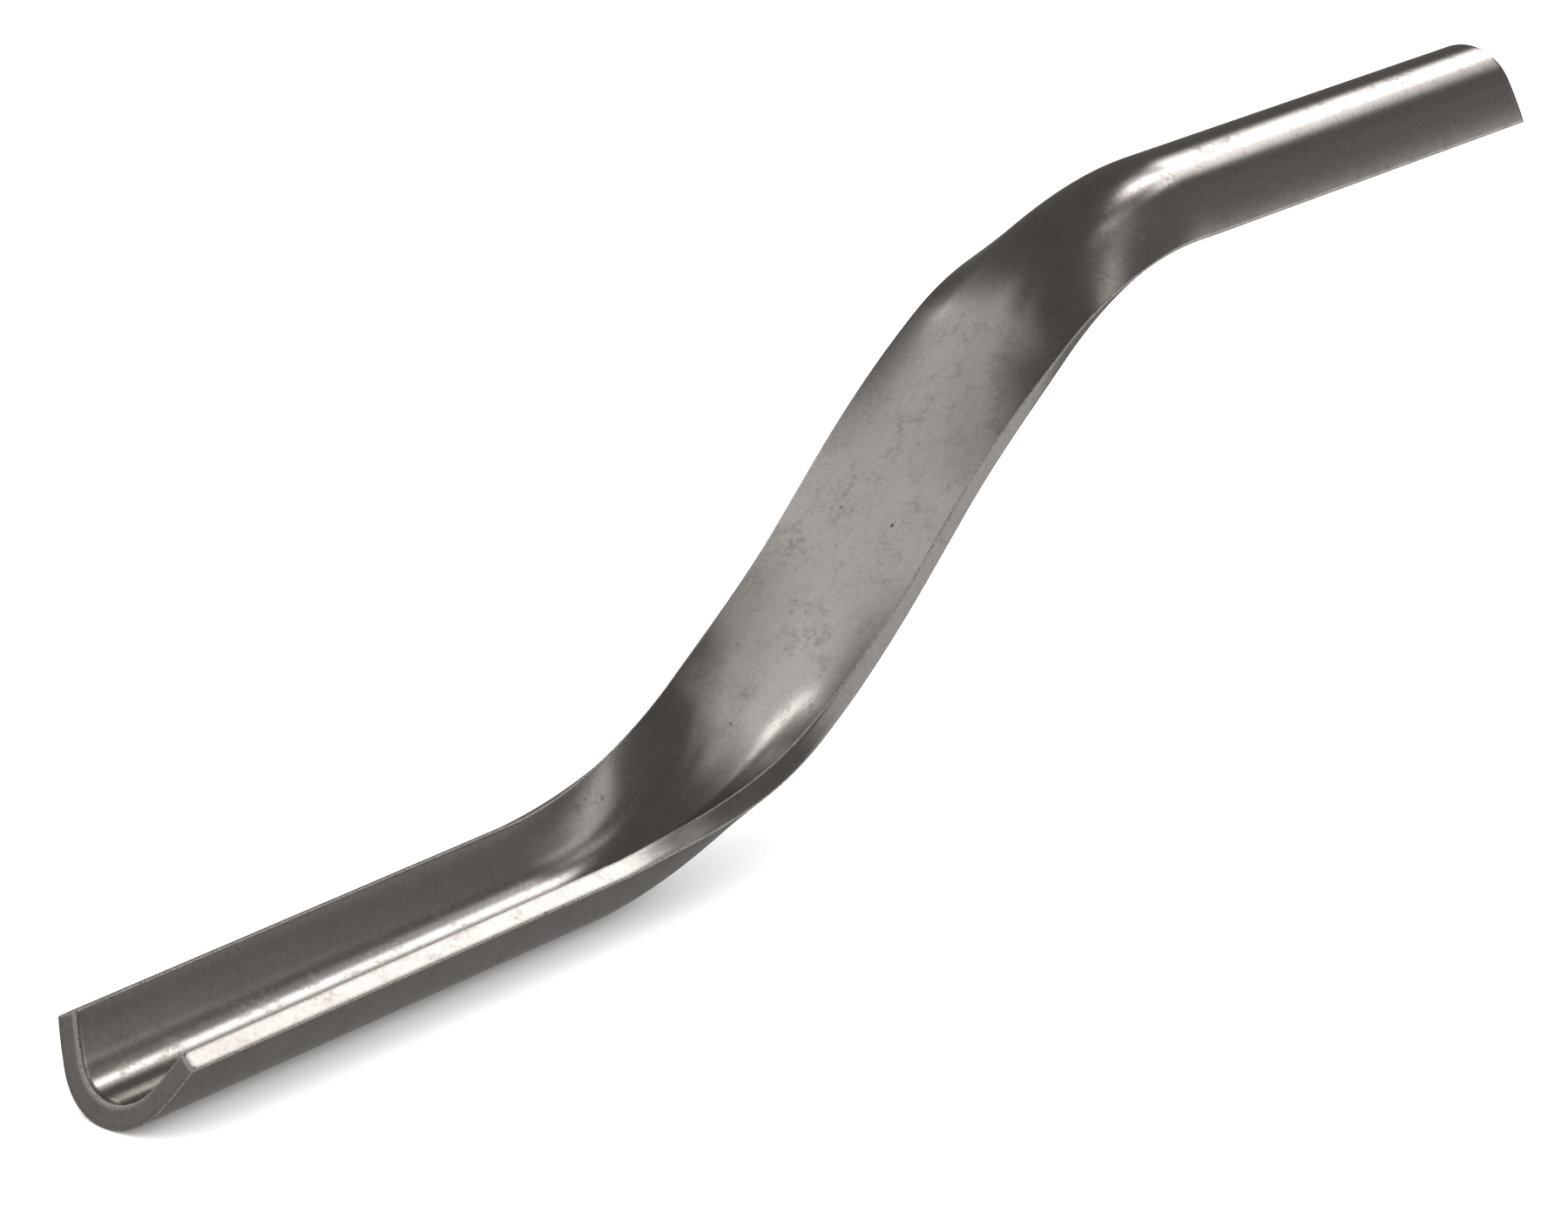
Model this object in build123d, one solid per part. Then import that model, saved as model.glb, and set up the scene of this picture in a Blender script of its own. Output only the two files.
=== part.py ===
"""Brick jointer: a double-ended hand tool that rubs a concave joint into mortar.

The tool is one length of strip steel. Each end is curled into a trough, the lower one
open upwards and the upper one open downwards, and two bends set the flat shank at a
slope, so that the two ends run parallel, one above the other.

Frame: +X runs from the lower trough to the upper one, +Z is up, and Y = 0 is the plane
of symmetry. The origin is at the middle of the tool's length, level with its lowest line.
All sizes are in millimetres and degrees.
"""
from build123d import *
from math import cos, radians, sin
import os

# The whole tool
TOOL_LENGTH = 292.0        # from the tip of one trough to the tip of the other, along X
STRIP_THICKNESS = 3.0
SHANK_SLOPE = 42.7         # how steeply the shank climbs
SHANK_WIDTH = 26.4
SHANK_LENGTH = 68.0        # of its straight part, between the two bends
SHANK_FLAT_LENGTH = 11.0   # of the stretch at its middle with no curl left in it

# The lower trough, a nominal 1 inch wide outside
LOWER_BEND_RADIUS = 58.0
LOWER_STRIP_WIDTH = 30.0   # of the blank, before it is curled
LOWER_CURL_RADIUS = 9.4    # at the middle of the strip's thickness
LOWER_WALL_ANGLE = 56.0    # how steeply the side walls stand
LOWER_FLATTEN_DELAY = 4.0  # from the start of the bend to where the curl starts to open
LOWER_TIP_SLANT = 23.5     # the walls are cut back from the bottom by this angle

# The upper trough, a nominal 7/8 inch wide outside
UPPER_BEND_RADIUS = 55.0
UPPER_STRIP_WIDTH = 29.2
UPPER_CURL_RADIUS = 7.8
UPPER_WALL_ANGLE = 57.5
UPPER_FLATTEN_DELAY = -4.0
UPPER_TIP_SLANT = 5.0

TROUGH_DIFFERENCE = 0.6    # how much longer the lower trough is than the upper one
SECTION_PITCH = 6.0        # distance between the sections that the curved stretches pass through
CUTTING_ALLOWANCE = 6.0    # extra length on each trough, cut away when its tip is trimmed
NEARLY_FLAT = 1e-9         # the least curl, so that a flat section is an arc of huge radius

# The two troughs share the length that the bends and the shank leave
SLOPE = radians(SHANK_SLOPE)
MIDDLE_ALONG_X = (LOWER_BEND_RADIUS + UPPER_BEND_RADIUS) * sin(SLOPE) + SHANK_LENGTH * cos(SLOPE)
LOWER_STRAIGHT = (TOOL_LENGTH - MIDDLE_ALONG_X + TROUGH_DIFFERENCE) / 2
UPPER_STRAIGHT = LOWER_STRAIGHT - TROUGH_DIFFERENCE

# Stations along the strip, from the lower tip
LOWER_BEND_END = LOWER_STRAIGHT + LOWER_BEND_RADIUS * SLOPE
UPPER_BEND_START = LOWER_BEND_END + SHANK_LENGTH
UPPER_BEND_END = UPPER_BEND_START + UPPER_BEND_RADIUS * SLOPE
STRIP_LENGTH = UPPER_BEND_END + UPPER_STRAIGHT
FLAT_START = LOWER_BEND_END + (SHANK_LENGTH - SHANK_FLAT_LENGTH) / 2
FLAT_END = FLAT_START + SHANK_FLAT_LENGTH
LOWER_FLATTEN_START = LOWER_STRAIGHT + LOWER_FLATTEN_DELAY
UPPER_FLATTEN_START = UPPER_BEND_END - UPPER_FLATTEN_DELAY


def centre_line(station):
    """Where the middle of the strip is at a station, and the slope there in radians."""
    if station <= LOWER_STRAIGHT:
        return station, 0.0, 0.0
    turn = min((station - LOWER_STRAIGHT) / LOWER_BEND_RADIUS, SLOPE)
    x = LOWER_STRAIGHT + LOWER_BEND_RADIUS * sin(turn)
    z = LOWER_BEND_RADIUS * (1 - cos(turn))
    along_shank = min(max(station - LOWER_BEND_END, 0.0), SHANK_LENGTH)
    x += along_shank * cos(SLOPE)
    z += along_shank * sin(SLOPE)
    turn_back = min(max((station - UPPER_BEND_START) / UPPER_BEND_RADIUS, 0.0), SLOPE)
    slope_now = turn - turn_back
    x += UPPER_BEND_RADIUS * (sin(SLOPE) - sin(SLOPE - turn_back))
    z += UPPER_BEND_RADIUS * (cos(SLOPE - turn_back) - cos(SLOPE))
    x += max(station - UPPER_BEND_END, 0.0)
    return x, z, slope_now


def fade(station, full, none):
    """1 at the station where the curl is full, 0 where there is none, an S-curve between."""
    share = min(max((station - full) / (none - full), 0.0), 1.0)
    return 1 - share * share * (3 - 2 * share)


def half_profile(curl, curl_radius, wall_angle, half_width):
    """Points (across, up, lean) on the middle of the strip, from its centre to one edge.

    The strip is an arc and then a straight wall. A curl of 1 is the finished trough, and
    0 is flat; between them the arc has the same length and a larger radius.
    """
    arc = curl_radius * radians(wall_angle)
    reaches = [arc * n / 5 for n in range(6)]
    reaches += [arc + (half_width - arc) * n / 3 for n in (1, 2, 3)]
    curvature = max(curl, NEARLY_FLAT) / curl_radius
    points = []
    for reach in reaches:
        on_arc = min(reach, arc)
        lean = curvature * on_arc
        across = sin(lean) / curvature + (reach - on_arc) * cos(lean)
        up = 2 * sin(lean / 2) ** 2 / curvature + (reach - on_arc) * sin(lean)
        points.append((across, up, lean))
    return points


def section_plane(station):
    """The plane square to the centre line at a station, with its x direction along +Y."""
    x, z, slope = centre_line(station)
    return Plane(origin=(x, 0, z), x_dir=(0, 1, 0), z_dir=(cos(slope), 0, sin(slope)))


def section_face(station):
    """The strip's cross-section at a station, as a face square to the centre line."""
    lower_curl = fade(station, LOWER_FLATTEN_START, FLAT_START)
    upper_curl = fade(station, UPPER_FLATTEN_START, FLAT_END)
    width = SHANK_WIDTH
    width += (LOWER_STRIP_WIDTH - SHANK_WIDTH) * lower_curl
    width += (UPPER_STRIP_WIDTH - SHANK_WIDTH) * upper_curl
    if lower_curl >= upper_curl:
        half = half_profile(lower_curl, LOWER_CURL_RADIUS, LOWER_WALL_ANGLE, width / 2)
        side = 1
    else:
        half = half_profile(upper_curl, UPPER_CURL_RADIUS, UPPER_WALL_ANGLE, width / 2)
        side = -1

    plane = section_plane(station)

    def surface(offset):
        """One face of the strip as a curve, from its -Y edge to its +Y edge."""
        right = [(a - sin(t) * offset, side * (u + cos(t) * offset)) for a, u, t in half]
        left = [(-a, u) for a, u in reversed(right[1:])]
        return Spline(*[plane.from_local_coords((a, u, 0)) for a, u in left + right])

    hollow_side = surface(STRIP_THICKNESS / 2)
    round_side = surface(-STRIP_THICKNESS / 2)
    near_edge = Line(hollow_side @ 0, round_side @ 0)
    far_edge = Line(round_side @ 1, hollow_side @ 1)
    return Face(Wire([round_side, far_edge, hollow_side, near_edge]))


def stretch(start, end):
    """A smooth solid through the strip's sections from one station to another."""
    count = max(2, round((end - start) / SECTION_PITCH))
    stations = [start + (end - start) * n / count for n in range(count + 1)]
    return loft([section_face(station) for station in stations])


def trim_tip(body, tip, slant, outward):
    """Cut a trough off at its tip, through the given point and leaning by the slant."""
    lean = radians(slant)
    cut = Plane(origin=tip, z_dir=(-outward * cos(lean), 0, outward * sin(lean)))
    return split(body, bisect_by=cut, keep=Keep.TOP)


def jointer_blade():
    """The whole tool: trough, curved stretch, flat shank, curved stretch, trough."""
    lower_curve = stretch(LOWER_STRAIGHT, FLAT_START)
    upper_curve = stretch(FLAT_END, UPPER_BEND_END)
    shank_end = section_plane(FLAT_START) * Rectangle(SHANK_WIDTH, STRIP_THICKNESS)
    shank = extrude(shank_end, SHANK_FLAT_LENGTH, dir=(cos(SLOPE), 0, sin(SLOPE)))

    lower_end = lower_curve.faces().sort_by(Axis.X)[0]
    upper_end = upper_curve.faces().sort_by(Axis.X)[-1]
    lower_trough = extrude(lower_end, LOWER_STRAIGHT + CUTTING_ALLOWANCE, dir=(-1, 0, 0))
    upper_trough = extrude(upper_end, UPPER_STRAIGHT + CUTTING_ALLOWANCE, dir=(1, 0, 0))

    upper_x, _, upper_z = section_plane(STRIP_LENGTH).origin
    lower_bottom = (0, 0, -STRIP_THICKNESS / 2)
    upper_top = (upper_x, 0, upper_z + STRIP_THICKNESS / 2)
    lower_trough = trim_tip(lower_trough, lower_bottom, LOWER_TIP_SLANT, -1)
    upper_trough = trim_tip(upper_trough, upper_top, UPPER_TIP_SLANT, 1)
    body = lower_trough + lower_curve + shank + upper_curve + upper_trough
    return Pos(-TOOL_LENGTH / 2, 0, STRIP_THICKNESS / 2) * body


os.makedirs("parts", exist_ok=True)
blade = jointer_blade()
blade.label = "jointer_blade"
export_step(blade, "parts/jointer_blade.step")
print("solids", len(blade.solids()), "volume", round(blade.volume), "mm3")
print("strip", round(STRIP_LENGTH, 1), "troughs", round(LOWER_STRAIGHT, 1), round(UPPER_STRAIGHT, 1))
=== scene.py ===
# %% [markdown]
# # A brick jointer in steel
#
# A brick jointer is rubbed along fresh mortar to press a smooth, hollow joint into it. It is
# one length of strip steel. Each end is curled into a trough of its own width, and the flat
# shank between them is set at a slope by two bends, so that the hand is clear of the wall.
#
# The CAD model already holds the size and shape. This lesson loads it as a fixed frame,
# and then makes a finer skin for it: a mesh that is smooth enough to carry long reflections,
# with the softened corners that the CAD model leaves out, and a worn steel finish.

from math import cos, degrees, radians, sin, tan

import bmesh
import bpy
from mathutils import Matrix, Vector


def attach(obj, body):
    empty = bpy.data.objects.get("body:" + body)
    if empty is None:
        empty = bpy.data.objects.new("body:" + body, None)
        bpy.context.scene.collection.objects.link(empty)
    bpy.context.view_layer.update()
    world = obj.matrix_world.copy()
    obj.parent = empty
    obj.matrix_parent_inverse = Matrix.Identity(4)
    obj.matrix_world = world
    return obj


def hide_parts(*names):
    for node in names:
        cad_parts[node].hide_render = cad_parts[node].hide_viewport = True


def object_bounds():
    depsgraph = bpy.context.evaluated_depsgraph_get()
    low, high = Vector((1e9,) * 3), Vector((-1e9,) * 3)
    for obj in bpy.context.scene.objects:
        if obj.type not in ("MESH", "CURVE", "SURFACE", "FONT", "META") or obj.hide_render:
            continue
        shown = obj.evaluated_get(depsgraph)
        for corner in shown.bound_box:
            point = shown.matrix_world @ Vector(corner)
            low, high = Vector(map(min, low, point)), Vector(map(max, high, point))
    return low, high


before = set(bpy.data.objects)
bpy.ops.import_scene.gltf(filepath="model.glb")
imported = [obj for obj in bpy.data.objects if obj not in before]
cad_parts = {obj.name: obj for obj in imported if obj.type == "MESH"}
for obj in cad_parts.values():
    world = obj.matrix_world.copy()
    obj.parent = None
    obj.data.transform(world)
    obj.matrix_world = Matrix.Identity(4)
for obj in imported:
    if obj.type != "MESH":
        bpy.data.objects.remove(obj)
cad_low, cad_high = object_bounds()
print("CAD box in mm:", [round(1000 * side, 2) for side in cad_high - cad_low])

# %% [markdown]
# ## The camera
#
# Everything that follows is judged through the camera, so it comes first. It stands under a
# metre away with a long lens, so the lower end looks about a quarter larger than the upper
# one. The tool is seen from its lower end, from the side, and from a little above.

# %% Place the camera
CAMERA_PLACE = Vector((-0.56407, -0.47306, 0.30503))
CAMERA_AIM = Vector((-0.01023, 0.00594, 0.02931))
LENS_MM = 128.75
SENSOR_MM = 36.0

camera_data = bpy.data.cameras.new("bench_camera")
camera_data.lens = LENS_MM
camera_data.sensor_width = SENSOR_MM
camera_data.clip_start = 0.05
camera_data.clip_end = 20.0
camera = bpy.data.objects.new("bench_camera", camera_data)
camera.location = CAMERA_PLACE
camera.rotation_euler = (CAMERA_AIM - CAMERA_PLACE).to_track_quat("-Z", "Y").to_euler()
bpy.context.scene.collection.objects.link(camera)
bpy.context.scene.camera = camera
print("camera is", round((CAMERA_AIM - CAMERA_PLACE).length, 3), "m from its aim")

# %% [markdown]
# ## The sizes of the strip
#
# The skin has to follow the CAD model closely, so it is driven by the same few sizes. A
# place on the strip is given by its station, which is the distance from the lower tip along
# the middle of the strip, and by its share, which says how far across the flat blank it is.

# %% Sizes, in metres
MM = 0.001
TOOL_LENGTH = 292.0 * MM
STRIP_THICKNESS = 3.0 * MM
SLOPE = radians(42.7)
SHANK_WIDTH = 26.4 * MM
SHANK_LENGTH = 68.0 * MM
SHANK_FLAT_LENGTH = 11.0 * MM
TROUGH_DIFFERENCE = 0.6 * MM

LOWER = {"bend_radius": 58.0 * MM, "strip_width": 30.0 * MM, "curl_radius": 9.4 * MM,
         "wall_angle": radians(56.0), "tip_slant": radians(23.5)}
UPPER = {"bend_radius": 55.0 * MM, "strip_width": 29.2 * MM, "curl_radius": 7.8 * MM,
         "wall_angle": radians(57.5), "tip_slant": radians(5.0)}
FLATTEN_DELAY = 4.0 * MM

middle_along_x = (LOWER["bend_radius"] + UPPER["bend_radius"]) * sin(SLOPE)
middle_along_x += SHANK_LENGTH * cos(SLOPE)
LOWER_STRAIGHT = (TOOL_LENGTH - middle_along_x + TROUGH_DIFFERENCE) / 2
UPPER_STRAIGHT = LOWER_STRAIGHT - TROUGH_DIFFERENCE
LOWER_BEND_END = LOWER_STRAIGHT + LOWER["bend_radius"] * SLOPE
UPPER_BEND_START = LOWER_BEND_END + SHANK_LENGTH
UPPER_BEND_END = UPPER_BEND_START + UPPER["bend_radius"] * SLOPE
STRIP_LENGTH = UPPER_BEND_END + UPPER_STRAIGHT
FLAT_START = LOWER_BEND_END + (SHANK_LENGTH - SHANK_FLAT_LENGTH) / 2
FLAT_END = FLAT_START + SHANK_FLAT_LENGTH
LOWER_FLATTEN_START = LOWER_STRAIGHT + FLATTEN_DELAY
UPPER_FLATTEN_START = UPPER_BEND_END + FLATTEN_DELAY
print("strip of", round(STRIP_LENGTH / MM, 1), "mm, with troughs of",
      round(LOWER_STRAIGHT / MM, 1), "and", round(UPPER_STRAIGHT / MM, 1), "mm")

# %% [markdown]
# ## Where each point of the flat blank goes
#
# A smith would curl the ends of a flat blank and then bend it twice. The skin is made in the
# same way: a flat grid is the blank, and one function says where each of its points ends up.
# It curls the blank across its width, and then carries that section along the bent centre
# line. The curl opens out smoothly from each trough to the flat middle of the shank. The
# walls of a trough also turn in a little, and more so towards the edge, which the CAD model
# leaves out.

# %% The centre line and the curl
NEARLY_FLAT = 1e-6         # the least curl, so that a flat section is an arc of huge radius
WALL_CROWN = radians(7.0)  # how far the walls have turned in by the time they reach the edge


def centre_line(station):
    """Where the middle of the strip is at a station, along X and Z, and its slope there."""
    turn = min(max((station - LOWER_STRAIGHT) / LOWER["bend_radius"], 0.0), SLOPE)
    turn_back = min(max((station - UPPER_BEND_START) / UPPER["bend_radius"], 0.0), SLOPE)
    on_shank = min(max(station - LOWER_BEND_END, 0.0), SHANK_LENGTH)
    x = min(station, LOWER_STRAIGHT) + LOWER["bend_radius"] * sin(turn)
    z = LOWER["bend_radius"] * (1 - cos(turn))
    x += on_shank * cos(SLOPE)
    z += on_shank * sin(SLOPE)
    x += UPPER["bend_radius"] * (sin(SLOPE) - sin(SLOPE - turn_back))
    z += UPPER["bend_radius"] * (cos(SLOPE - turn_back) - cos(SLOPE))
    x += max(station - UPPER_BEND_END, 0.0)
    return x, z, turn - turn_back


def fade(station, full, none):
    """1 at the station where the curl is full, 0 where there is none, an S-curve between."""
    share = min(max((station - full) / (none - full), 0.0), 1.0)
    return 1 - share * share * (3 - 2 * share)


def section_point(station, share):
    """A point on the middle of the strip: how far across, how far up, and the lean there.

    The share says where the point is on the blank's width, from -0.5 to 0.5.
    """
    lower_curl = fade(station, LOWER_FLATTEN_START, FLAT_START)
    upper_curl = fade(station, UPPER_FLATTEN_START, FLAT_END)
    width = SHANK_WIDTH
    width += (LOWER["strip_width"] - SHANK_WIDTH) * lower_curl
    width += (UPPER["strip_width"] - SHANK_WIDTH) * upper_curl
    if lower_curl >= upper_curl:
        end, curl, side = LOWER, lower_curl, 1
    else:
        end, curl, side = UPPER, upper_curl, -1

    reach = abs(share) * width
    arc = end["curl_radius"] * end["wall_angle"]
    on_arc = min(reach, arc)
    curvature = max(curl, NEARLY_FLAT) / end["curl_radius"]
    lean = curvature * on_arc
    on_wall = reach - on_arc
    wall = width / 2 - arc
    tuck = WALL_CROWN * curl * wall / 3 * (on_wall / wall) ** 3
    across = sin(lean) / curvature + on_wall * cos(lean) - tuck * sin(lean)
    up = 2 * sin(lean / 2) ** 2 / curvature + on_wall * sin(lean) + tuck * cos(lean)
    towards = 1 if share >= 0 else -1
    return towards * across, side * up, towards * side * lean


def upper_face_point(station, share):
    """Where a point of the blank's upper face ends up, in the frame of the CAD model."""
    across, up, lean = section_point(station, share)
    across -= sin(lean) * STRIP_THICKNESS / 2
    up += cos(lean) * STRIP_THICKNESS / 2
    x, z, slope = centre_line(station)
    x -= up * sin(slope)
    z += up * cos(slope)
    return Vector((x - TOOL_LENGTH / 2, across, z + STRIP_THICKNESS / 2))


flat_start_place = upper_face_point(FLAT_START, 0.0)
print("the flat of the shank starts at", [round(side / MM, 1) for side in flat_start_place])

# %% [markdown]
# ## Curl and bend a grid
#
# The blank starts as a grid of cells about a millimetre long and half a millimetre wide.
# Cells of that size turn less than four degrees from one to the next on the tightest
# curl, so reflections flow over them without a ripple. A subdivision surface could smooth a
# coarser grid, but it would pull the skin off the CAD model where the curl meets the wall.

# %% Make the upper face
LENGTHWISE_CELLS = 318
CROSSWISE_CELLS = 60
HALF = 0.5  # the grid starts as a unit square, and reaches this far from its middle

blade_mesh = bmesh.new()
bmesh.ops.create_grid(blade_mesh, x_segments=LENGTHWISE_CELLS, y_segments=CROSSWISE_CELLS,
                      size=HALF)
for vert in blade_mesh.verts:
    station = (vert.co.x + HALF) * STRIP_LENGTH
    vert.co = upper_face_point(station, vert.co.y)
bmesh.ops.recalc_face_normals(blade_mesh, faces=blade_mesh.faces)
print("upper face:", len(blade_mesh.faces), "cells, facing", blade_mesh.faces[0].normal.z)

# %% [markdown]
# ## Give the strip its thickness
#
# Solidify copies the grid three millimetres further down and joins the two along the rim.
# The rim is one face wide. It is cut into four, so that the shading of the rim stays flat
# when the corners beside it are rounded.

# %% Solidify
if blade_mesh.faces[0].normal.z < 0:
    bmesh.ops.reverse_faces(blade_mesh, faces=blade_mesh.faces)
bmesh.ops.solidify(blade_mesh, geom=blade_mesh.faces[:], thickness=STRIP_THICKNESS)
blade_mesh.normal_update()
heights = [vert.co.z for vert in blade_mesh.verts]
print("from", round(min(heights) / MM, 2), "to", round(max(heights) / MM, 2), "mm high")

# %% Name the faces of the rim, and split them
SHEARED_RIM = 1    # the place of the rim's finish among the blade's materials
RIM_CUTS = 3
NEARLY_THICKNESS = 0.8 * STRIP_THICKNESS  # only the edges across the rim are longer than this

rim_edges = [edge for edge in blade_mesh.edges if edge.calc_length() > NEARLY_THICKNESS]
for edge in rim_edges:
    for face in edge.link_faces:
        face.material_index = SHEARED_RIM
bmesh.ops.subdivide_edges(blade_mesh, edges=rim_edges, cuts=RIM_CUTS)
rim_faces = [face for face in blade_mesh.faces if face.material_index == SHEARED_RIM]
print("rim split into", len(rim_faces), "faces")

# %% [markdown]
# ## Cut the tips back
#
# The tips are not cut square. The walls of each trough are cut back from its outermost line,
# a lot on the lower trough and a little on the upper one. A plane could slice the tips off,
# but it would leave slivers of cells beside the cut. Sliding the points along the trough, by
# more the nearer they are to the tip, gives the same flat end and keeps every cell whole.

# %% Slide the points near the tips
SLIDE_STRETCH = 60.0 * MM


def slide_tip(tip_x, inward, outermost_z, slant):
    """Lean the end of a trough back, by the slant, from its outermost line."""
    for vert in blade_mesh.verts:
        from_tip = abs(vert.co.x - tip_x)
        if from_tip < SLIDE_STRETCH:
            full = tan(slant) * abs(vert.co.z - outermost_z)
            vert.co.x += inward * full * (1 - from_tip / SLIDE_STRETCH)
    print("tip at", round(tip_x / MM, 1), "mm leans back by", round(degrees(slant), 1), "degrees")


top_z = max(vert.co.z for vert in blade_mesh.verts)
slide_tip(-TOOL_LENGTH / 2, 1, 0.0, LOWER["tip_slant"])
slide_tip(TOOL_LENGTH / 2, -1, top_z, UPPER["tip_slant"])

# %% [markdown]
# ## Round the corners
#
# Steel strip that has been handled and rubbed on brick has no knife edges. A bevel of about
# a fifth of a millimetre along every corner catches the light as a thin bright line, which
# is what makes an edge look real. The bevel's own faces are marked, so that the finish can
# paint a broken pale line there, partly edge wear and partly a painted highlight, and be
# dull enough to take light from all round.

# %% Bevel the corners and mark them
CORNER_ROUNDING = 0.22 * MM
SHARP_ANGLE = radians(40)

corner_mark = blade_mesh.faces.layers.float.new("corner")
blade_mesh.normal_update()
corners = [edge for edge in blade_mesh.edges if edge.calc_face_angle() > SHARP_ANGLE]
rounded = bmesh.ops.bevel(blade_mesh, geom=corners, offset=CORNER_ROUNDING,
                          offset_type="OFFSET", segments=2, profile=0.5, affect="EDGES",
                          material=-1)
for face in rounded["faces"]:
    face[corner_mark] = 1.0
for face in blade_mesh.faces:
    face.smooth = True
print("rounded", len(corners), "edges with", len(rounded["faces"]), "faces; volume",
      round(blade_mesh.calc_volume() / MM ** 3), "mm3")

# %% [markdown]
# ## Make it a piece of the tool
#
# The mesh becomes an object at the origin, with its place in its points. It stands for the
# CAD blade and rides on the tool's only body. Weighted normals let the wide faces set the
# shading, so the rim stays flat right up to its rounded corners.

# %% The blade
blade_data = bpy.data.meshes.new("burnished_blade")
blade_mesh.to_mesh(blade_data)
blade_mesh.free()
blade = bpy.data.objects.new("burnished_blade", blade_data)
bpy.context.scene.collection.objects.link(blade)
shading = blade.modifiers.new("flat_rim_shading", "WEIGHTED_NORMAL")
shading.mode = "FACE_AREA"
shading.weight = 50

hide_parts("jointer_blade")
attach(blade, "root")
print(blade.name, "has", len(blade_data.polygons), "faces")

# %% [markdown]
# ## Building materials from nodes
#
# A node material is a small program. The helpers below add a node with its settings, and
# make a group with named inputs and outputs, so that an effect is built once and used in
# both steel finishes with its own values.

# %% Node helpers
def add_node(tree, kind, inputs=None, **settings):
    """Add a node. An input is a plain value, or the output of another node to link from."""
    node = tree.nodes.new(kind)
    for name, value in settings.items():
        setattr(node, name, value)
    for name, value in (inputs or {}).items():
        if isinstance(value, bpy.types.NodeSocket):
            tree.links.new(value, node.inputs[name])
        else:
            node.inputs[name].default_value = value
    return node


def maths(tree, operation, *values, clamp=False):
    """The result of one sum on up to three values or sockets."""
    node = add_node(tree, "ShaderNodeMath", dict(enumerate(values)), operation=operation)
    node.use_clamp = clamp
    return node.outputs[0]


# A Mix node has an A and a B for each kind of value, so the colours' own are told by number.
MIX_SHARE, MIX_FIRST, MIX_SECOND, MIX_RESULT = 0, 6, 7, 2


def mix_colours(tree, share, first, second, blend="MIX"):
    """A colour between two others, or the two put together in the way that blend says."""
    inputs = {MIX_SHARE: share, MIX_FIRST: first, MIX_SECOND: second}
    node = add_node(tree, "ShaderNodeMix", inputs, data_type="RGBA", blend_type=blend)
    return node.outputs[MIX_RESULT]


def new_group(name, inputs, outputs):
    """A shader node group with numbers and vectors going in, and numbers coming out."""
    group = bpy.data.node_groups.new(name, "ShaderNodeTree")
    for socket, kind in inputs.items():
        group.interface.new_socket(socket, in_out="INPUT", socket_type=kind)
    for socket in outputs:
        group.interface.new_socket(socket, in_out="OUTPUT", socket_type="NodeSocketFloat")
    entry = group.nodes.new("NodeGroupInput").outputs
    leave = group.nodes.new("NodeGroupOutput").inputs
    return group, entry, leave


def place_group(tree, group, inputs):
    """Use a group in a material, with its own values."""
    return add_node(tree, "ShaderNodeGroup", inputs, node_tree=group).outputs


print("helpers ready")

# %% [markdown]
# ## Cloudy steel
#
# Bare steel that has been handled dulls unevenly, so its shine comes and goes in small
# blotches. Two noises do this: a fine one for the blotches themselves, and a broad one that
# gathers them, so that some stretches stay clean. Noise on Object coordinates runs
# through the metal like a solid, so it never stretches where the strip is curled.

# %% Blotches
BROAD_SHARE = 0.18     # the broad noise's scale, as a share of the blotches' own
BLOTCH_LEVEL = 0.62    # where the fine noise turns into a blotch, with no gathering
AVERAGE_NOISE = 0.5
BLOTCH_CONTRAST = 4.0

blotches, entry, leave = new_group(
    "Blotches",
    {"Vector": "NodeSocketVector", "Blotch Scale": "NodeSocketFloat",
     "Gathering": "NodeSocketFloat", "Cover": "NodeSocketFloat"},
    ["Blotch", "Cloud"])
fine = add_node(blotches, "ShaderNodeTexNoise",
                {"Vector": entry["Vector"], "Scale": entry["Blotch Scale"], "Detail": 5.0,
                 "Roughness": 0.62, "Distortion": 0.4})
broad_scale = maths(blotches, "MULTIPLY", entry["Blotch Scale"], BROAD_SHARE)
broad = add_node(blotches, "ShaderNodeTexNoise",
                 {"Vector": entry["Vector"], "Scale": broad_scale, "Detail": 3.0,
                  "Roughness": 0.55, "Distortion": 0.6})
gathered = maths(blotches, "MULTIPLY_ADD", broad.outputs["Fac"], entry["Gathering"],
                 fine.outputs["Fac"])
start = maths(blotches, "MULTIPLY_ADD", entry["Gathering"], AVERAGE_NOISE, BLOTCH_LEVEL)
start = maths(blotches, "SUBTRACT", start, entry["Cover"])
past_start = maths(blotches, "SUBTRACT", gathered, start)
spread = maths(blotches, "MULTIPLY", past_start, BLOTCH_CONTRAST, clamp=True)
blotches.links.new(spread, leave["Blotch"])
blotches.links.new(broad.outputs["Fac"], leave["Cloud"])
print("group", blotches.name)

# %% [markdown]
# ## Pits and grain
#
# Here and there the surface has a dark pit, about a millimetre across at most. Voronoi cells
# are a good source of lone specks: the distance to the nearest cell centre makes the dot, and
# each cell's own random value picks the few cells that have one. The grain is a very fine
# noise, which is felt more than seen.

# %% Pits
LARGEST_PIT = 0.22  # its radius, as a share of a cell
PIT_EDGE = 9.0      # how fast a pit darkens from its rim inwards

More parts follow.
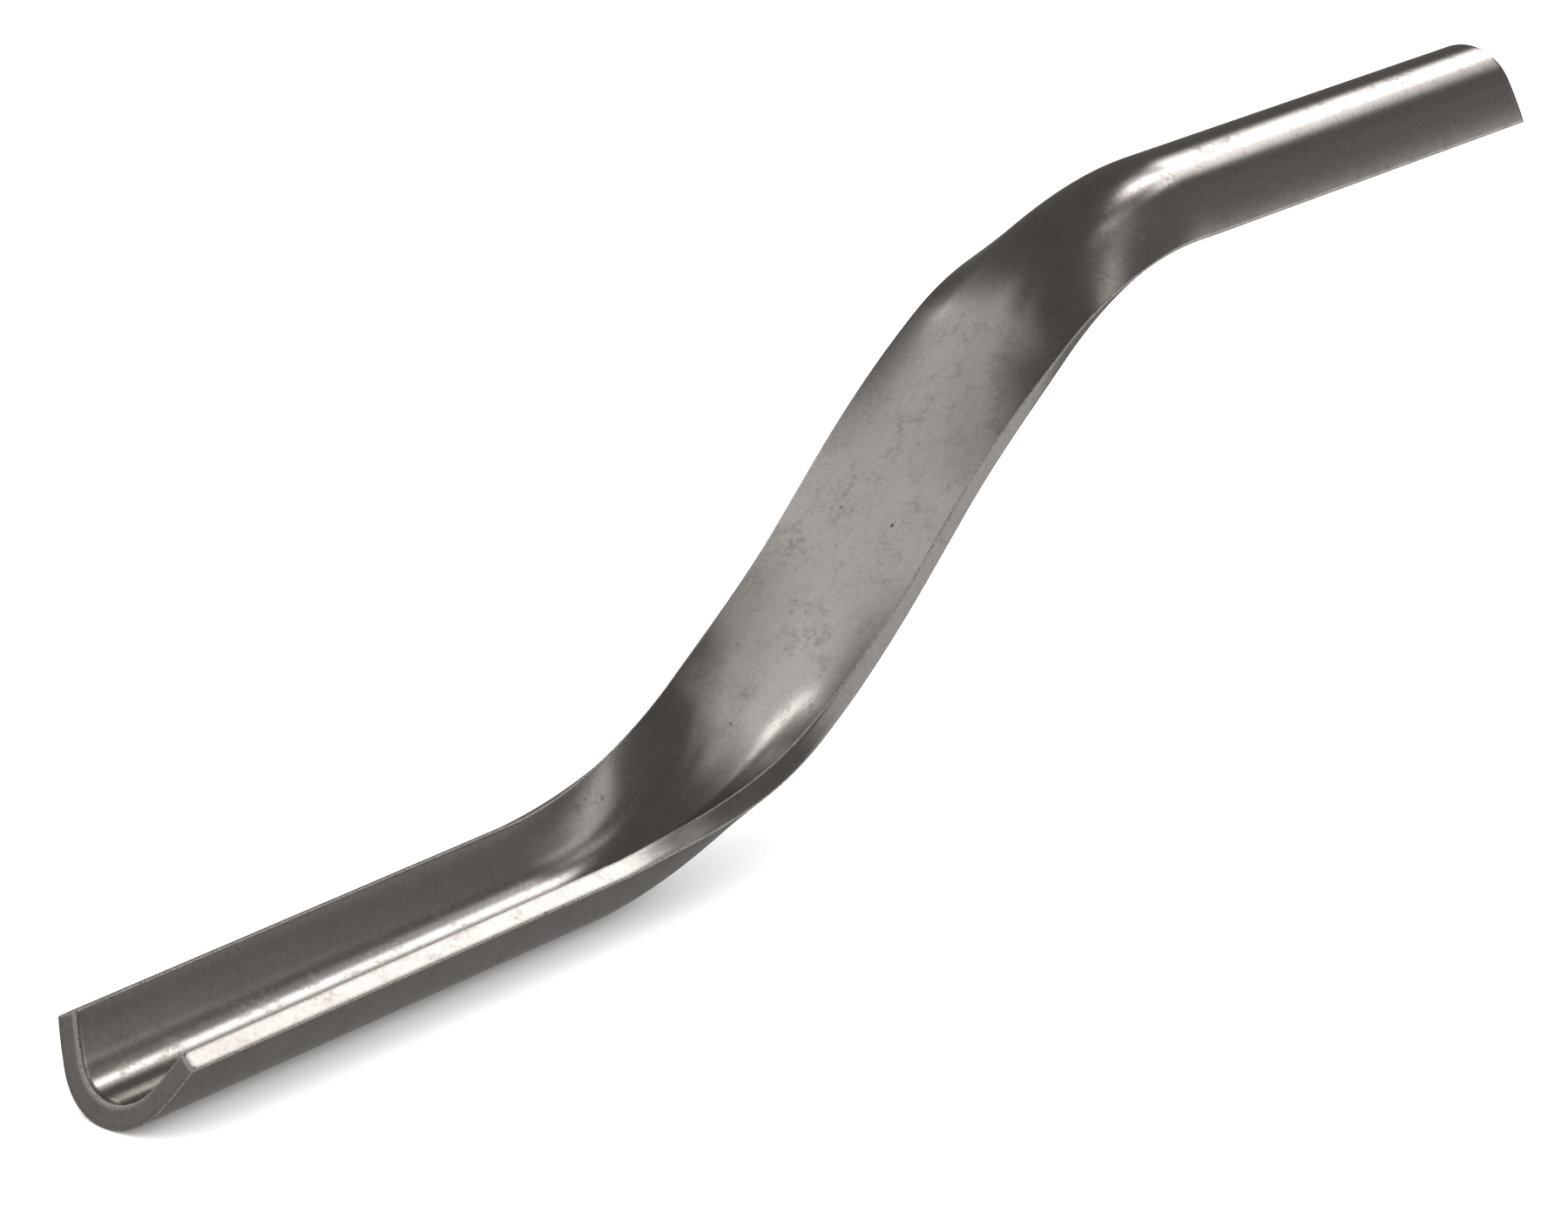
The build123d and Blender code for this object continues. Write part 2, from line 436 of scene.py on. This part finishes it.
pits, entry, leave = new_group(
    "Pits",
    {"Vector": "NodeSocketVector", "Pit Scale": "NodeSocketFloat", "Share": "NodeSocketFloat"},
    ["Pit"])
cells = add_node(pits, "ShaderNodeTexVoronoi",
                 {"Vector": entry["Vector"], "Scale": entry["Pit Scale"]})
own_value = add_node(pits, "ShaderNodeSeparateColor", {"Color": cells.outputs["Color"]})
chosen = maths(pits, "LESS_THAN", own_value.outputs["Red"], entry["Share"])
size = maths(pits, "MULTIPLY", own_value.outputs["Green"], LARGEST_PIT)
dot = maths(pits, "SUBTRACT", size, cells.outputs["Distance"])
dot = maths(pits, "MULTIPLY", dot, PIT_EDGE, clamp=True)
pits.links.new(maths(pits, "MULTIPLY", dot, chosen), leave["Pit"])
print("group", pits.name)

# %% [markdown]
# ## The two steel finishes
#
# The curled and bent faces are burnished. The rim, where the strip was sheared, is a little
# duller and less blotchy. One function builds both from the same groups. Its colour wanders
# between a bright and a clouded steel, with the blotches, with the broad cloud behind them,
# and with flecks of a noise of their own. The Principled shader stays outside the groups, and
# metal needs only its colour, its roughness and the small bumps that break up its reflections.

# %% Colours and strengths of the steel
STEEL_BRIGHT = (0.50, 0.471, 0.450, 1.0)
STEEL_CLOUDED = (0.39, 0.363, 0.342, 1.0)
PIT_DARK = (0.10, 0.088, 0.075, 1.0)
# The pale corner colour is a painted highlight on the rounded corners, partly edge wear.
CORNER_PAINTED_HIGHLIGHT = (0.85, 0.83, 0.80, 1.0)

# How many patches of each kind fit in a metre
BLOTCH_SCALE = 1300.0
PIT_SCALE = 420.0
FLECK_SCALE = 1500.0
GRAIN_SCALE = 5200.0

GATHERING = 1.1
PIT_SHARE = 0.05       # of the cells have a pit
BLOTCH_TONE = 0.6      # how far a blotch clouds the colour
FLECK_CONTRAST = 1.6
CLEAR_CLOUD = 0.3      # the value of the broad cloud at which it leaves the colour alone
CORNER_HIGHLIGHT_LEVEL = 0.46     # grain above this value leaves a corner bright

PIT_ROUGHNESS = 0.3    # added to the steel's own, as the next one is
CORNER_ROUGHNESS = 0.45

GRAIN_HEIGHT = 0.15
PIT_DEPTH = 2.0
BLOTCH_HEIGHT = 0.25
BUMP_DISTANCE = 0.02 * MM
print("bright steel", STEEL_BRIGHT[:3], "and clouded steel", STEEL_CLOUDED[:3])


# %% Steel
def steel_colour(tree, cloud, specks, fleck, grain, corner):
    """The colour of a steel, from its patches, with a painted highlight on its marked corners."""
    tone = maths(tree, "MULTIPLY", cloud["Blotch"], BLOTCH_TONE)
    fleck_tone = maths(tree, "MULTIPLY_ADD", fleck, FLECK_CONTRAST,
                       -FLECK_CONTRAST * AVERAGE_NOISE)
    tone = maths(tree, "ADD", tone, fleck_tone)
    cloud_tone = maths(tree, "SUBTRACT", cloud["Cloud"], CLEAR_CLOUD)
    tone = maths(tree, "ADD", tone, cloud_tone, clamp=True)
    colour = mix_colours(tree, tone, STEEL_BRIGHT, STEEL_CLOUDED)
    colour = mix_colours(tree, specks["Pit"], colour, PIT_DARK)
    # Where the grain is high, a marked corner turns pale: a broken painted highlight, partly edge
    # wear.
    highlight_and_wear = maths(tree, "GREATER_THAN", grain, CORNER_HIGHLIGHT_LEVEL)
    corner_highlight_and_wear = maths(tree, "MULTIPLY", corner, highlight_and_wear)
    return mix_colours(tree, corner_highlight_and_wear, colour, CORNER_PAINTED_HIGHLIGHT)


def steel(name, shine, blotch_rough, cover, bump):
    """A clouded steel. Shine is the roughness of its cleanest parts."""
    material = bpy.data.materials.new(name)
    material.use_nodes = True
    tree = material.node_tree
    shader = tree.nodes["Principled BSDF"]
    place = add_node(tree, "ShaderNodeTexCoord").outputs["Object"]
    cloud = place_group(tree, blotches, {"Vector": place, "Blotch Scale": BLOTCH_SCALE,
                                         "Gathering": GATHERING, "Cover": cover})
    specks = place_group(tree, pits, {"Vector": place, "Pit Scale": PIT_SCALE,
                                      "Share": PIT_SHARE})
    grain = add_node(tree, "ShaderNodeTexNoise",
                     {"Vector": place, "Scale": GRAIN_SCALE, "Detail": 2.0}).outputs["Fac"]
    fleck = add_node(tree, "ShaderNodeTexNoise",
                     {"Vector": place, "Scale": FLECK_SCALE, "Detail": 3.0}).outputs["Fac"]
    corner = add_node(tree, "ShaderNodeAttribute", attribute_name="corner").outputs["Fac"]
    colour = steel_colour(tree, cloud, specks, fleck, grain, corner)
    tree.links.new(colour, shader.inputs["Base Color"])

    rough = maths(tree, "MULTIPLY_ADD", cloud["Blotch"], blotch_rough, shine)
    rough = maths(tree, "MULTIPLY_ADD", specks["Pit"], PIT_ROUGHNESS, rough)
    rough = maths(tree, "MULTIPLY_ADD", corner, CORNER_ROUGHNESS, rough)
    tree.links.new(rough, shader.inputs["Roughness"])

    height = maths(tree, "MULTIPLY", grain, GRAIN_HEIGHT)
    height = maths(tree, "MULTIPLY_ADD", specks["Pit"], -PIT_DEPTH, height)
    height = maths(tree, "MULTIPLY_ADD", cloud["Blotch"], BLOTCH_HEIGHT, height)
    relief = add_node(tree, "ShaderNodeBump", {"Height": height, "Strength": bump,
                                               "Distance": BUMP_DISTANCE})
    tree.links.new(relief.outputs["Normal"], shader.inputs["Normal"])
    shader.inputs["Metallic"].default_value = 1.0
    print("finish", name)
    return material


blade_data.materials.append(steel("burnished_steel", shine=0.19, blotch_rough=0.10, cover=0.06,
                                  bump=0.5))
blade_data.materials.append(steel("sheared_rim_steel", shine=0.24, blotch_rough=0.05, cover=0.0,
                                  bump=0.25))

# %% [markdown]
# ## The studio
#
# Polished metal shows little of itself: it shows the room. So the room is laid out for the
# reflections. It is a dome with soft lamps drawn on it, far enough off that every part of
# the tool sees a lamp in the same direction. A place on the dome is given by a compass
# angle from +X towards +Y, and by its height above the horizon, both in degrees. The first
# nodes turn a direction into those two angles.

# %% Angles on the dome
world = bpy.data.worlds.new("studio_dome")
world.use_nodes = True
world.cycles.sampling_method = "NONE"
bpy.context.scene.world = world
dome = world.node_tree
direction = add_node(dome, "ShaderNodeTexCoord").outputs["Generated"]
parts = add_node(dome, "ShaderNodeSeparateXYZ", {0: direction}).outputs
compass_angle = maths(dome, "DEGREES", maths(dome, "ARCTAN2", parts["Y"], parts["X"]))
height_angle = maths(dome, "DEGREES", maths(dome, "ARCSINE", parts["Z"]))
print("dome ready for its lamps")

# %% [markdown]
# ## One lamp
#
# A lamp is a patch with soft sides. The group measures how far a direction is from the
# middle of the patch, and fades the glow across each side. Soft sides matter: a hard one
# shows up in the steel as a cut line. The lean lets a lamp shift along the compass as it
# rises, as a softbox does when it is turned on its stand.

# %% Lamp group
HALF_TURN = 180.0
LAMP_SIZES = ("Compass", "Height", "Half Wide", "Half Tall", "Soft Wide", "Soft Tall", "Lean")

lamp_group, entry, leave = new_group(
    "Dome Lamp",
    {name: "NodeSocketFloat" for name in ("Compass Angle", "Height Angle", *LAMP_SIZES)},
    ["Glow"])


def fade_side(tree, distance, half, soft):
    """1 well inside a side, 0 well outside it, and a smooth fade across it."""
    inner = maths(tree, "SUBTRACT", half, soft)
    outer = maths(tree, "ADD", half, soft)
    fade_node = add_node(tree, "ShaderNodeMapRange",
                         {"Value": distance, "From Min": inner, "From Max": outer,
                          "To Min": 1.0, "To Max": 0.0}, interpolation_type="SMOOTHSTEP")
    return fade_node.outputs["Result"]


rise = maths(lamp_group, "SUBTRACT", entry["Height Angle"], entry["Height"])
shifted = maths(lamp_group, "MULTIPLY_ADD", rise, entry["Lean"], entry["Compass"])
sideways = maths(lamp_group, "SUBTRACT", entry["Compass Angle"], shifted)
sideways = maths(lamp_group, "WRAP", sideways, HALF_TURN, -HALF_TURN)
across_lamp = fade_side(lamp_group, maths(lamp_group, "ABSOLUTE", sideways),
                        entry["Half Wide"], entry["Soft Wide"])
up_lamp = fade_side(lamp_group, maths(lamp_group, "ABSOLUTE", rise),
                    entry["Half Tall"], entry["Soft Tall"])
lamp_group.links.new(maths(lamp_group, "MULTIPLY", across_lamp, up_lamp), leave["Glow"])
print("group", lamp_group.name)

# %% [markdown]
# ## Hang the lamps
#
# The key lamps stand beyond the upper end and draw the long highlight along each trough. A
# narrow strip on the near side crosses both bends. A broad fill on the far side lights the
# shank, and a small bright spot in it catches the hollow of the lower bend. Dim walls and
# the light off the floor reach the rim and the rounded sides. What no lamp covers stays dim
# and slightly warm, which gives the deep grey between the highlights.

# %% Lamp lists
# Each row is a lamp: how bright it is, and then its sizes in the order of LAMP_SIZES.
KEY_LAMPS = (
    (2.8, 16, 32, 9, 7, 4, 3, -0.5),     # low part
    (2.4, -5, 42, 14, 3, 5, 2.5, 0.0),   # middle band
    (3.0, 2, 51, 8.5, 6, 5, 3, 0.0),     # top part
    (0.9, -1, 38, 9, 3, 12, 3.5, 0.0),   # soft lower side
    (0.8, 14, 49, 7, 5, 5, 4, 0.0),      # dim corner
    (0.35, -11, 52, 5, 3, 5, 4, 0.0),    # soft side, towards the strip
)
STRIP_LAMPS = (
    (0.85, -49, 39, 5, 8, 4, 6, 0.2),    # low end
    (0.15, -39, 46, 4, 4, 5, 5, 0.7),    # middle
    (0.65, -33, 58, 6, 8, 5, 5, 0.4),    # top end
)
FILL_LAMPS = (
    (0.43, 141, 41, 50, 26, 10, 7, 0.75),  # broad part
    (0.20, 168, 73, 22, 6, 10, 4, 0.0),    # top part
    (0.20, 127, 53, 7, 17, 6, 6, 1.6),     # leaning side
    (0.25, 109, 42, 7, 7, 6, 6, 1.8),      # low end of that side
    (2.60, 91, 28.5, 4, 4, 3, 4, 1.8),     # spot for the lower bend
)
ROOM_LAMPS = (
    (0.60, -124, 38, 28, 18, 10, 8, 0.0),  # side light for the corners
    (0.80, -40, 10, 16, 5, 8, 6, 0.0),     # low lamp on the near side
    (0.42, -52, -18, 40, 25, 8, 6, 0.0),   # pale wall on the near side
    (0.04, -35, 24, 25, 10, 10, 8, 0.0),   # its faint top
    (0.08, 150, 5, 50, 18, 12, 8, 0.0),    # pale wall on the far side
    (0.09, 0, -55, 200, 50, 10, 15, 0.0),  # light off the floor, from all round
)
LAMPS = KEY_LAMPS + STRIP_LAMPS + FILL_LAMPS + ROOM_LAMPS
print(len(LAMPS), "lamps to hang")


# %% Add the lamps up
def hang_lamp(light, glow, *sizes):
    """The dome's light with one more lamp added. The sizes are in the order of LAMP_SIZES."""
    values = {"Compass Angle": compass_angle, "Height Angle": height_angle}
    values.update(zip(LAMP_SIZES, sizes))
    patch = place_group(dome, lamp_group, values)["Glow"]
    return maths(dome, "ADD", light, maths(dome, "MULTIPLY", patch, glow))


lamp_light = 0.0
for lamp in LAMPS:
    lamp_light = hang_lamp(lamp_light, *lamp)
print("lamps hung")

# %% [markdown]
# ## Light the room
#
# Only reflections see the lamps and the dim dome. Every other ray, such as the light that
# falls on the floor, finds an even white dome, so the floor stays plain. The floor itself is
# hidden from reflections, because one of the lamps already stands for it.

# %% Light of the dome
DOME_DIM = (0.117, 0.113, 0.107, 1.0)
FLOOR_LIGHT = (2.2, 2.2, 2.2, 1.0)

lamp_colour = add_node(dome, "ShaderNodeCombineColor",
                       {"Red": lamp_light, "Green": lamp_light, "Blue": lamp_light})
in_metal = mix_colours(dome, 1.0, DOME_DIM, lamp_colour.outputs["Color"], blend="ADD")
ray = add_node(dome, "ShaderNodeLightPath")
dome_colour = mix_colours(dome, ray.outputs["Is Glossy Ray"], FLOOR_LIGHT, in_metal)
dome.links.new(dome_colour, dome.nodes["Background"].inputs["Color"])
print("dome lit")

# %% Floor
FLOOR_SIZE = 8.0
FLOOR_WHITE = (0.92, 0.92, 0.92, 1.0)
FLOOR_ROUGHNESS = 0.9

floor_mesh = bmesh.new()
bmesh.ops.create_grid(floor_mesh, x_segments=1, y_segments=1, size=FLOOR_SIZE / 2)
bmesh.ops.translate(floor_mesh, verts=floor_mesh.verts, vec=(0, 0, cad_low.z))
floor_data = bpy.data.meshes.new("studio_floor")
floor_mesh.to_mesh(floor_data)
floor_mesh.free()
floor = bpy.data.objects.new("studio_floor", floor_data)
bpy.context.scene.collection.objects.link(floor)
floor.visible_glossy = False

pale = bpy.data.materials.new("pale_floor")
pale.use_nodes = True
pale_shader = pale.node_tree.nodes["Principled BSDF"]
pale_shader.inputs["Base Color"].default_value = FLOOR_WHITE
pale_shader.inputs["Roughness"].default_value = FLOOR_ROUGHNESS
floor_data.materials.append(pale)
bpy.context.scene.view_settings.view_transform = "Standard"
print("floor at", round(cad_low.z / MM, 2), "mm")

# %% [markdown]
# ## The last step
#
# The view layer is brought up to date at the end.

# %% Finish
bpy.context.view_layer.update()
